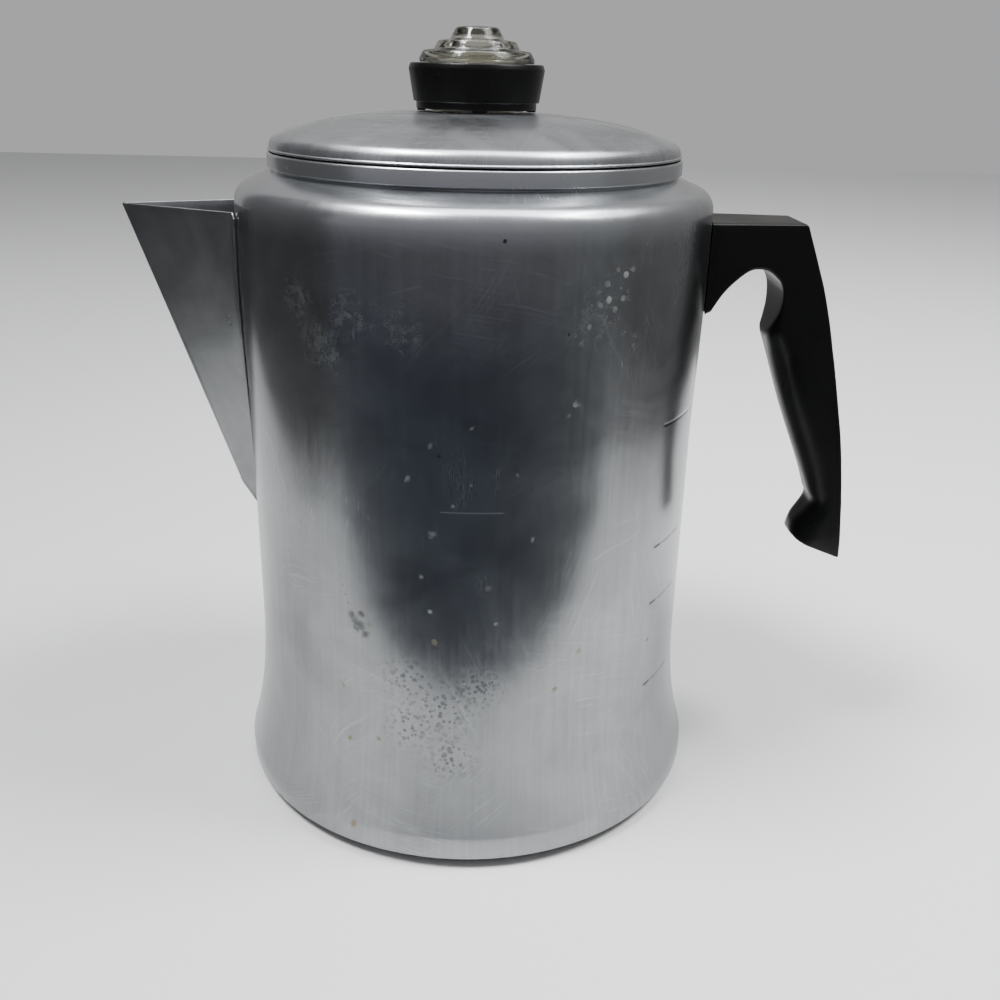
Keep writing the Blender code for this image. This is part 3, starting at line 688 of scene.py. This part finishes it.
# ---------------------------------------------------------------- materials
class Nodes:
    """A Principled material and short calls that add nodes to it."""

    def __init__(self, name, colour, metallic=0.0, roughness=0.5):
        self.material = bpy.data.materials.new(name)
        self.material.use_nodes = True
        self.tree = self.material.node_tree
        self.shader = self.tree.nodes["Principled BSDF"]
        self.set("Base Color", colour)
        self.set("Metallic", metallic)
        self.set("Roughness", roughness)

    def feed(self, socket, value):
        """Link another node's output to a socket, or give the socket a plain value."""
        if isinstance(value, bpy.types.NodeSocket):
            self.tree.links.new(value, socket)
        elif socket.type == "RGBA":
            socket.default_value = (*value, 1)
        else:
            socket.default_value = value

    def set(self, name, value):
        self.feed(self.shader.inputs[name], value)

    def add(self, kind, inputs, output=0, **properties):
        """Add a node; inputs holds values or sockets by the input's name or number."""
        node = self.tree.nodes.new("ShaderNode" + kind)
        for key, value in properties.items():
            setattr(node, key, value)
        for key, value in inputs.items():
            self.feed(node.inputs[key], value)
        return node.outputs[output]

    def math(self, operation, a, b=0.0, c=0.0):
        return self.add("Math", {0: a, 1: b, 2: c}, operation=operation)

    def times(self, first, *others):
        for other in others:
            first = self.math("MULTIPLY", first, other)
        return first

    def surface(self):
        """The distance round and along a turned piece, in metres, as a vector."""
        return self.add("UVMap", {}, uv_map="surface")

    def space(self):
        return self.add("TexCoord", {}, "Object")

    def axes(self, *numbers):
        """Chosen coordinates of a point in the object's space: 0 is x, 1 is y and 2 is z."""
        space = self.space()
        parts = [self.add("SeparateXYZ", {0: space}, k) for k in numbers]
        return parts if len(parts) > 1 else parts[0]

    def stretch(self, vector, scale, turn=0.0, shift=(0, 0, 0)):
        """Turn a vector about Z, then scale and shift it."""
        if turn:
            vector = self.add("Mapping", {"Vector": vector, "Rotation": (0, 0, radians(turn))})
        return self.add("Mapping", {"Vector": vector, "Scale": scale, "Location": shift})

    def noise(self, vector, scale=1.0, detail=3.0, distortion=0.0, roughness=0.5):
        return self.add("TexNoise", {"Vector": vector, "Scale": scale, "Detail": detail,
                                     "Distortion": distortion, "Roughness": roughness})

    def cells(self, vector, scale):
        """The distance from the nearest of many scattered points."""
        return self.add("TexVoronoi", {"Vector": vector, "Scale": scale})

    def over(self, value, low, high):
        """Zero below low, one above high, and smooth between."""
        return self.add("MapRange", {0: value, 1: low, 2: high}, interpolation_type="SMOOTHSTEP")

    def under(self, value, low, high):
        """One below low, zero above high, and smooth between."""
        return self.math("SUBTRACT", 1.0, self.over(value, low, high))

    def mix(self, factor, a, b):
        return self.add("Mix", {0: factor, 6: a, 7: b}, 2, data_type="RGBA")

    def paint(self, colour, mask, strength, shade):
        """Lay a shade over a colour where the mask is, as strongly as told."""
        return self.mix(self.times(mask, strength), colour, shade)

    def bump(self, height, distance, strength=1.0):
        self.set("Normal", self.add("Bump", {"Height": height, "Distance": distance,
                                             "Strength": strength}))


GRAIN_DEPTH = 0.4
# Turn in degrees, then scratches to a metre across them and waves to a metre along them.
SCRATCHES = [(24, 700, 9), (-38, 800, 12), (78, 650, 9), (-64, 750, 14)]


def cool(value):
    """A grey with the slight blue of aluminium."""
    return (value * 0.97, value, value * 1.03)


def hairlines(n, vector, half_width, lanes):
    """Thin wandering scratches, 1 on a scratch and 0 off it."""
    drift = n.noise(n.stretch(vector, (14, 14, 1)), 1.0, 1.0)
    vector = n.add("VectorMath", {0: drift, 1: (0.05, 0.02, 0), 2: vector},
                   operation="MULTIPLY_ADD")
    total = None
    for k, (turn, across, along_lane) in enumerate(lanes):
        lane = n.stretch(vector, (across, along_lane, 1), turn, (k * 3.7, k * 1.9, 0))
        off = n.math("ABSOLUTE", n.math("SUBTRACT", n.noise(lane, 1.0, 1.0, 0.15), 0.5))
        line = n.under(off, 0.0, half_width)
        gate = n.over(n.noise(n.stretch(vector, (26, 26, 1), turn), 1.0, 2.0), 0.48, 0.64)
        line = n.times(line, gate)
        total = line if total is None else n.math("MAXIMUM", total, line)
    return total


def aluminium(name, tone, roughness, grain=(1600, 30), wear=0.3, level=False,
              streaks=(420, 9), marks=None):
    """Handled sheet aluminium: a fine grain, streaks, hairline scratches and cloudy oxide."""
    n = Nodes(name, cool(tone), 1.0, roughness)
    fine = n.noise(n.stretch(n.surface(), (*grain, 1)), 1.0, 3.0)
    cloud = n.noise(n.space(), 30, 5.0, 0.8, 0.62)
    streak = n.noise(n.stretch(n.surface(), (*streaks, 1)), 1.0, 4.0, 0.3, 0.7)
    colour = n.mix(n.over(cloud, 0.3, 0.7), cool(tone * 0.86), cool(tone * 1.10))
    colour = n.paint(colour, n.under(streak, 0.25, 0.75), 0.13, (0, 0, 0))
    rough = n.math("MULTIPLY_ADD", fine, 0.08, roughness - 0.04)
    rough = n.math("MULTIPLY_ADD", n.math("SUBTRACT", cloud, 0.5), 0.16, rough)
    height = n.times(fine, GRAIN_DEPTH)
    if wear:
        plane = n.space() if level else n.surface()
        lines = hairlines(n, plane, 0.022, SCRATCHES)
        colour = n.paint(colour, lines, wear, cool(tone * 1.6))
        height = n.math("SUBTRACT", height, n.times(lines, wear * 0.6))
    if marks:
        colour, rough, height = marks(n, colour, rough, height)
    n.set("Base Color", colour)
    n.set("Roughness", rough)
    n.bump(height, 0.00001, 0.8)
    return n.material


def radius_from(n, x, y):
    """The distance from the pot's axis."""
    return n.math("SQRT", n.math("MULTIPLY_ADD", x, x, n.times(y, y)))


def lid_gap_shade(n, colour, rough, height):
    """Painted shade in the narrow gap between the lid's edge and the rim."""
    x, y, z = n.axes(0, 1, 2)
    low = n.under(z, (LID_SEAT + 0.02) * MM, (LID_SEAT + 0.22) * MM)
    outer = n.over(radius_from(n, x, y), (LID_R - 2.9) * MM, (LID_R - 2.4) * MM)
    # Painted shade: the low outer edge of the lid is laid near black.
    return n.paint(colour, low, outer, RIM_GAP_SHADE), rough, height


# Wear on the pot's wall: azimuth in degrees, height and radius in millimetres.
PALE_DOTS = [(-99, 152, 1.3), (-104, 141, 1.5), (-98.5, 123, 1.7), (-86, 105, 1.3),
             (-90, 158, 1.0), (-94, 133, 0.8), (-80, 143, 0.9), (-76, 121, 1.0),
             (-101, 108, 1.1), (-99, 96, 0.9), (-84, 92, 0.8), (-90, 140, 0.7)]
PALE_CLUSTERS = [(-60, 196, 9), (-57, 203, 6), (-55, 182, 5), (-68, 163, 4), (-66, 186, 5)]
HAZE = [(-117, 189, 14), (-123, 180, 12), (-104, 186, 12), (-130, 192, 12), (-64, 190, 14)]
BROWN_DROPS = [(-98, 85, 1.5), (-63, 78, 1.4), (-38, 70, 1.2), (-120, 42, 1.3),
               (-112, 45, 1.3), (-122, 62, 1.3), (-114, 88, 1.2), (-69, 65, 1.4), (-117, 11, 2.4)]
PITTED = [(-104, 70, 14), (-97, 60, 20), (-88, 68, 14), (-94, 42, 14), (-104, 52, 14)]
SCUFFS = [(-117, 87, 4.2), (-115, 84, 2.6), (-118.6, 90, 2.4), (-116, 91, 2.0),
          (-119.5, 94, 0.6), (-120.3, 97, 0.5), (-121, 100, 0.5), (-121.6, 103, 0.4)]
PINHOLES = [(-84, 213, 0.8), (-97, 149, 0.6), (-70, 186, 0.5)]
COARSE_CELLS, FINE_CELLS = 340.0, 560.0     # cells to a metre, for dots and pits
# Near black laid as painted shade in the gap under the lid's edge and in the groove under the rim.
RIM_GAP_SHADE = (0.01, 0.01, 0.012)
# Height, half width and both ends in x of lines across the front, in millimetres.
LONG_SCRATCH = (130.7, 0.22, -9.8, 10.5)
CAPACITY = (51.6, 84.5, 106.3, 150.1)
CAPACITY_STROKES = [(0.6, 62.8, 66.2), (0.3, 66.2, 71.2), (0.6, 71.2, 74.5)]


def near(n, marks, soft=0.5, wobble=0.35):
    """1 inside any of the marks and 0 outside, with an uneven edge."""
    space = n.space()
    uneven = n.noise(space, 700, 2.0)
    total = None
    for azimuth, z, radius in marks:
        centre = place(on_wall(azimuth, z)[0])
        away = n.add("VectorMath", {0: space, 1: centre}, 1, operation="DISTANCE")
        away = n.math("MULTIPLY_ADD", uneven, 2 * wobble * radius * MM, away)
        edge = radius * MM * (1 + wobble)
        inside = n.under(away, edge * (1 - soft), edge)
        total = inside if total is None else n.math("MAXIMUM", total, inside)
    return total


def pot_marks(n, colour, rough, height):
    """What use has left on the pot, and painted light: a painted highlight on the shoulder and
    painted shade round the rim, in the capacity grooves and at the base. Each step returns what it
    changed.
    """
    # Painted highlight: the shoulder and rim are painted lighter to stand in for the ceiling's
    # bright reflection there.
    painted_shoulder_sheen = n.over(n.axes(2), (SHOULDER_Z - 6) * MM, (SHOULDER_Z + 6) * MM)
    colour = n.paint(colour, painted_shoulder_sheen, 0.9, cool(0.55))
    colour, rough = pale_marks(n, colour, rough)
    colour, rough = dark_marks(n, colour, rough)
    holes = near(n, PINHOLES, 0.3)
    colour = n.paint(colour, holes, 0.85, (0.03, 0.03, 0.03))
    x, y, z = n.axes(0, 1, 2)
    scratch = line_mark(n, x, y, z, LONG_SCRATCH)
    colour = n.paint(colour, scratch, 0.6, (0.85, 0.88, 0.9))
    # Painted shade in the capacity grooves, and a painted highlight above the top line.
    shaded_grooves, light = capacity_lines(n, x, y, z)
    colour = n.paint(colour, shaded_grooves, 0.95, (0.02, 0.02, 0.02))
    colour = n.paint(colour, light, 0.45, (0.85, 0.86, 0.86))
    colour, rough = pot_shade_and_inside(n, colour, rough)
    height = n.math("SUBTRACT", height, n.times(n.math("ADD", shaded_grooves, holes), 4.0))
    return colour, rough, height


def pale_marks(n, colour, rough):
    """Hazy blotches, clusters of dots and single spots where water dried."""
    space = n.space()
    splash = n.noise(space, 330, 4.0, 0.6, 0.6)
    haze = n.times(n.over(splash, 0.38, 0.70), near(n, HAZE, 1.0, 0.5))
    colour = n.paint(colour, haze, 0.4, cool(0.55))
    rough = n.math("MULTIPLY_ADD", haze, 0.15, rough)
    dots = n.times(n.under(n.cells(space, COARSE_CELLS), 0.26, 0.42),
                   near(n, PALE_CLUSTERS, 0.9))
    spots = n.times(near(n, PALE_DOTS, 0.8, 0.9), 0.8)
    pale = n.math("MAXIMUM", n.times(dots, 0.9), spots)
    colour = n.paint(colour, pale, 0.8, (0.62, 0.66, 0.64))
    return colour, n.math("MULTIPLY_ADD", pale, 0.35, rough)


def dark_marks(n, colour, rough):
    """Dried brown drops, then a bright patch with dark pits and a scuff."""
    space = n.space()
    brown = near(n, BROWN_DROPS, 0.7, 0.8)
    colour = n.paint(colour, brown, 0.8, (0.22, 0.18, 0.07))
    rough = n.math("MULTIPLY_ADD", brown, 0.3, rough)
    pits = n.math("MAXIMUM", n.under(n.cells(space, COARSE_CELLS), 0.20, 0.36),
                  n.under(n.cells(space, FINE_CELLS), 0.26, 0.46))
    patch = near(n, PITTED, 0.9)
    colour = n.paint(colour, patch, 0.35, cool(0.36))
    pitted = n.math("MAXIMUM", n.times(pits, patch), near(n, SCUFFS, 0.6, 0.6))
    colour = n.paint(colour, pitted, 0.75, (0.05, 0.052, 0.055))
    return colour, n.math("MULTIPLY_ADD", patch, 0.06, rough)


def pot_shade_and_inside(n, colour, rough):
    """Painted shade on the rim's seat, in the groove under the rim and round the base; the inner
    side gets a lighter tone.
    """
    x, y, z = n.axes(0, 1, 2)
    r = radius_from(n, x, y)
    seat = n.times(n.under(r, (RIM_R - 1.3) * MM, (RIM_R - 0.7) * MM),
                   n.over(z, (RIM_TOP - 1.2) * MM, (RIM_TOP - 0.8) * MM))
    groove = n.times(n.under(r, (NECK_R + 0.3) * MM, (NECK_R + 0.8) * MM),
                     n.over(z, (NECK_Z - 1.3) * MM, (NECK_Z - 0.9) * MM),
                     n.math("LESS_THAN", z, (RIM_TOP - RIM_BAND) * MM),
                     n.math("GREATER_THAN", r, (NECK_R - 0.6) * MM))
    # Painted shade: the rim's seat and the groove under it are laid near black.
    colour = n.mix(n.math("MAXIMUM", seat, groove), colour, RIM_GAP_SHADE)
    inner = inside_pot(n, z)
    colour = n.paint(colour, inner, 0.9, cool(0.62))
    rough = n.math("MULTIPLY_ADD", inner, 0.12, rough)
    # Painted shade: the underside of the base's edge is laid near black, standing in for the shadow
    # under it.
    base = n.times(n.under(z, 2.8 * MM, 4.2 * MM), n.math("SUBTRACT", 1.0, inner))
    colour = n.paint(colour, base, 0.8, (0.05, 0.05, 0.055))
    return colour, n.math("MULTIPLY_ADD", base, 0.3, rough)


def inside_pot(n, z):
    """1 on the inner side of the wall, which faces the axis, and on the floor inside."""
    normal = n.add("TexCoord", {}, "Normal")
    upward = n.add("SeparateXYZ", {0: normal}, 2)
    outward = n.add("VectorMath", {0: normal, 1: n.space()}, "Value", operation="DOT_PRODUCT")
    level = n.math("SUBTRACT", outward, n.times(z, upward))
    floor = n.times(n.math("GREATER_THAN", upward, 0.6), n.math("LESS_THAN", z, 4.0 * MM))
    return n.math("MAXIMUM", n.math("LESS_THAN", level, -2.0 * MM), floor)


def line_mark(n, x, y, z, mark):
    """1 on a level line across the front; mark is height, half width and the ends in x, in mm."""
    at, half, start, end = (number * MM for number in mark)
    soft = 0.6 * MM
    line = n.under(n.math("ABSOLUTE", n.math("SUBTRACT", z, at)), half * 0.6, half)
    line = n.times(line, n.over(x, start, start + soft), n.under(x, end - soft, end))
    return n.times(line, n.math("LESS_THAN", y, 0.0))


def capacity_lines(n, x, y, z):
    """Three dash, thin line and dash marks and a heavier top line, with painted shade in their
    grooves and a painted highlight along the top line's raised edge.
    """
    top = CAPACITY[-1]
    # Painted shade in the top groove, and above it a painted highlight on its raised edge.
    dark = line_mark(n, x, y, z, (top, 0.5, 62.8, 74.8))
    light = line_mark(n, x, y, z, (top + 0.8, 0.4, 62.8, 74.8))
    for level in CAPACITY[:-1]:
        for half, start, end in CAPACITY_STROKES:
            dark = n.math("MAXIMUM", dark, line_mark(n, x, y, z, (level, half, start, end)))
    return dark, light


def phenolic():
    """Black moulding: nearly no colour of its own, weak gloss, smears and a little dust."""
    n = Nodes("phenolic", (0.002, 0.002, 0.002), 0.0, 0.3)
    space = n.space()
    smear = n.noise(space, 45, 3.0, 0.4)
    speck = n.times(n.under(n.cells(space, 420.0), 0.04, 0.10),
                    n.over(n.noise(space, 120, 1.0), 0.6, 0.68))
    n.set("Base Color", n.paint((0.0018, 0.0018, 0.002), speck, 0.4, (0.10, 0.10, 0.10)))
    n.set("Specular IOR Level", 0.19)
    n.set("Roughness", n.math("MULTIPLY_ADD", smear, 0.22, 0.2))
    n.bump(n.noise(space, 900, 2.0), 0.00003, 0.5)
    return n.material


def clear_glass():
    n = Nodes("knob_glass", (0.63, 0.62, 0.52), 0.0, 0.10)
    n.set("Transmission Weight", 1.0)
    n.set("IOR", 1.5)
    n.bump(n.noise(n.space(), 260, 2.0), 0.00002, 0.25)
    return n.material


def plain_rubber():
    n = Nodes("gasket_rubber", (0.03, 0.03, 0.03), 0.0, 0.7)
    n.bump(n.noise(n.space(), 1500, 2.0), 0.00003, 0.6)
    return n.material


def plated_steel():
    n = Nodes("plated_steel", (0.5, 0.5, 0.52), 1.0, 0.3)
    spot = n.noise(n.space(), 380, 3.0)
    n.set("Base Color", n.mix(spot, (0.34, 0.33, 0.32), (0.62, 0.62, 0.64)))
    n.set("Roughness", n.math("MULTIPLY_ADD", spot, 0.2, 0.2))
    n.bump(n.noise(n.space(), 2500, 2.0), 0.00001, 0.5)
    return n.material


# ---------------------------------------------------------------- stage, in metres
AIM = (0, 0, 0.15)                                       # where the lamps point
CAMERA_AT, LENS = (0, -0.3828, 0.2567), 38.36
YAW, PITCH, ROLL = radians(1.68), radians(21.88), radians(1.41)


def panel(name, corners, material):
    """One flat face of the stage."""
    mesh = bpy.data.meshes.new(name)
    mesh.from_pydata(corners, [], [range(len(corners))])
    mesh.materials.append(material)
    obj = bpy.data.objects.new(name, mesh)
    bpy.context.scene.collection.objects.link(obj)
    return obj


def make_floor():
    """A plain pale floor, with painted shade towards the spout's side where the light falls off."""
    n = Nodes("floor", (0.74, 0.745, 0.75), 0.0, 0.6)
    # Painted shade: the floor darkens to the left, standing in for light falling off.
    painted_falloff = n.over(n.axes(0), -0.5, 0.25)
    n.set("Base Color", n.mix(painted_falloff, (0.52, 0.525, 0.525), (0.77, 0.775, 0.775)))
    n.set("Roughness", n.math("MULTIPLY_ADD", n.noise(n.space(), 3.0, 2.0), 0.1, 0.6))
    half = 3.0
    corners = [(-half, -half, 0), (half, -half, 0), (half, half, 0), (-half, half, 0)]
    panel("floor", corners, n.material)


def make_card(name, corners, shade):
    """A card seen only in gloss: part of the room round the pot."""
    n = Nodes(name, (0, 0, 0), 0.0, 1.0)
    n.set("Emission Color", shade(n))
    n.set("Emission Strength", 1.0)
    card = panel(name, corners, n.material)
    card.visible_camera = False
    card.visible_diffuse = False
    card.visible_shadow = False
    card.visible_transmission = False


def upright(x0, y0, x1, y1, high):
    """Corners of a card that stands on the floor between two points."""
    return [(x0, y0, 0.0005), (x1, y1, 0.0005), (x1, y1, high), (x0, y0, high)]


def rising(low, high, *levels):
    """A card's shade that goes from one colour to another with height."""
    def shade(n):
        return n.mix(n.over(n.axes(2), *levels), low, high)
    return shade


def front_shade(n):
    """Near black low down, lilac grey higher up, and lighter towards the handle's side."""
    wall = rising((0.075, 0.088, 0.115), (0.32, 0.31, 0.335), 0.12, 0.25)(n)
    across = n.over(n.axes(0), -0.02, 0.26)
    return n.paint(wall, across, 0.7, (0.28, 0.29, 0.29))


def make_cards():
    """Dark in front of the pot, dim to the left, mid grey elsewhere and a pale ceiling."""
    front, left, right, back = -0.185, -0.38, 0.42, 0.55
    make_card("front_card", upright(left, front, right, front, 0.62), front_shade)
    make_card("left_card", upright(left + 0.02, front, left - 0.22, back, 0.9),
              rising((0.06, 0.06, 0.06), (0.10, 0.10, 0.105), 0.02, 0.3))
    make_card("right_card", upright(right, front, right, back, 0.9),
              rising((0.16, 0.16, 0.16), (0.24, 0.24, 0.245), 0.02, 0.3))
    make_card("back_card", upright(left, back, right, back, 0.45),
              rising((0.26, 0.25, 0.245), (0.34, 0.33, 0.32), 0.02, 0.4))
    ceiling = [(-1.1, -0.6, 1.6), (1.4, -0.6, 1.6), (1.4, 0.3, 1.6), (-1.1, 0.3, 1.6)]
    make_card("ceiling_card", ceiling, rising((5.6, 5.8, 6.0), (5.6, 5.8, 6.0), 1.0, 2.0))


def make_lamp(name, place_at, size, power):
    data = bpy.data.lights.new(name, "AREA")
    data.shape = "RECTANGLE"
    data.size, data.size_y = size
    data.energy = power
    lamp = bpy.data.objects.new(name, data)
    lamp.location = place_at
    way = Vector(AIM) - Vector(place_at)
    lamp.rotation_euler = way.to_track_quat("-Z", "Y").to_euler()
    bpy.context.scene.collection.objects.link(lamp)


def make_lights():
    """A grey world and two soft lamps high at the sides."""
    world = bpy.data.worlds.new("studio")
    world.use_nodes = True
    backdrop = world.node_tree.nodes["Background"]
    backdrop.inputs["Color"].default_value = (0.80, 0.80, 0.82, 1)
    backdrop.inputs["Strength"].default_value = 0.55
    bpy.context.scene.world = world
    make_lamp("left_lamp", (-0.60, -0.25, 1.5), (0.55, 0.4), 38)
    make_lamp("right_lamp", (0.88, -0.10, 1.5), (0.55, 0.5), 36)


def make_camera():
    """In front of the pot at the knob's height, looking down, a little turned and rolled."""
    forward = Vector((sin(YAW) * cos(PITCH), cos(YAW) * cos(PITCH), -sin(PITCH)))
    level = Vector((cos(YAW), -sin(YAW), 0))
    upward = level.cross(forward)
    right = level * cos(ROLL) + upward * sin(ROLL)
    up = upward * cos(ROLL) - level * sin(ROLL)
    turn = Matrix((right, up, -forward)).transposed().to_4x4()
    data = bpy.data.cameras.new("camera")
    data.lens = LENS
    data.clip_start = 0.01
    camera = bpy.data.objects.new("camera", data)
    camera.matrix_world = Matrix.Translation(CAMERA_AT) @ turn
    bpy.context.scene.collection.objects.link(camera)
    bpy.context.scene.camera = camera


def main():
    black, steel = phenolic(), plated_steel()
    inner = aluminium("inner_aluminium", 0.50, 0.36, (900, 60), 0)
    make_pot(aluminium("pot_aluminium", 0.27, 0.24, marks=pot_marks))
    make_spout(aluminium("spout_aluminium", 0.27, 0.30, (240, 20), 0, streaks=(160, 6)))
    make_handle(black)
    make_lid(aluminium("lid_aluminium", 0.50, 0.28, (40, 2500), level=True, streaks=(12, 500),
                       marks=lid_gap_shade))
    make_knob(black, clear_glass(), plain_rubber())
    make_basket(inner)
    make_cover(inner)
    make_pump(inner)
    make_valve(inner, steel)
    make_fixings(steel)
    for node in ("handle_bracket", "handle_nut", "bracket_rivet_left", "bracket_rivet_right"):
        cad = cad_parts[node]
        cad.data.materials.clear()
        cad.data.materials.append(steel)
    make_floor()
    make_cards()
    make_lights()
    make_camera()


main()
bpy.context.view_layer.update()
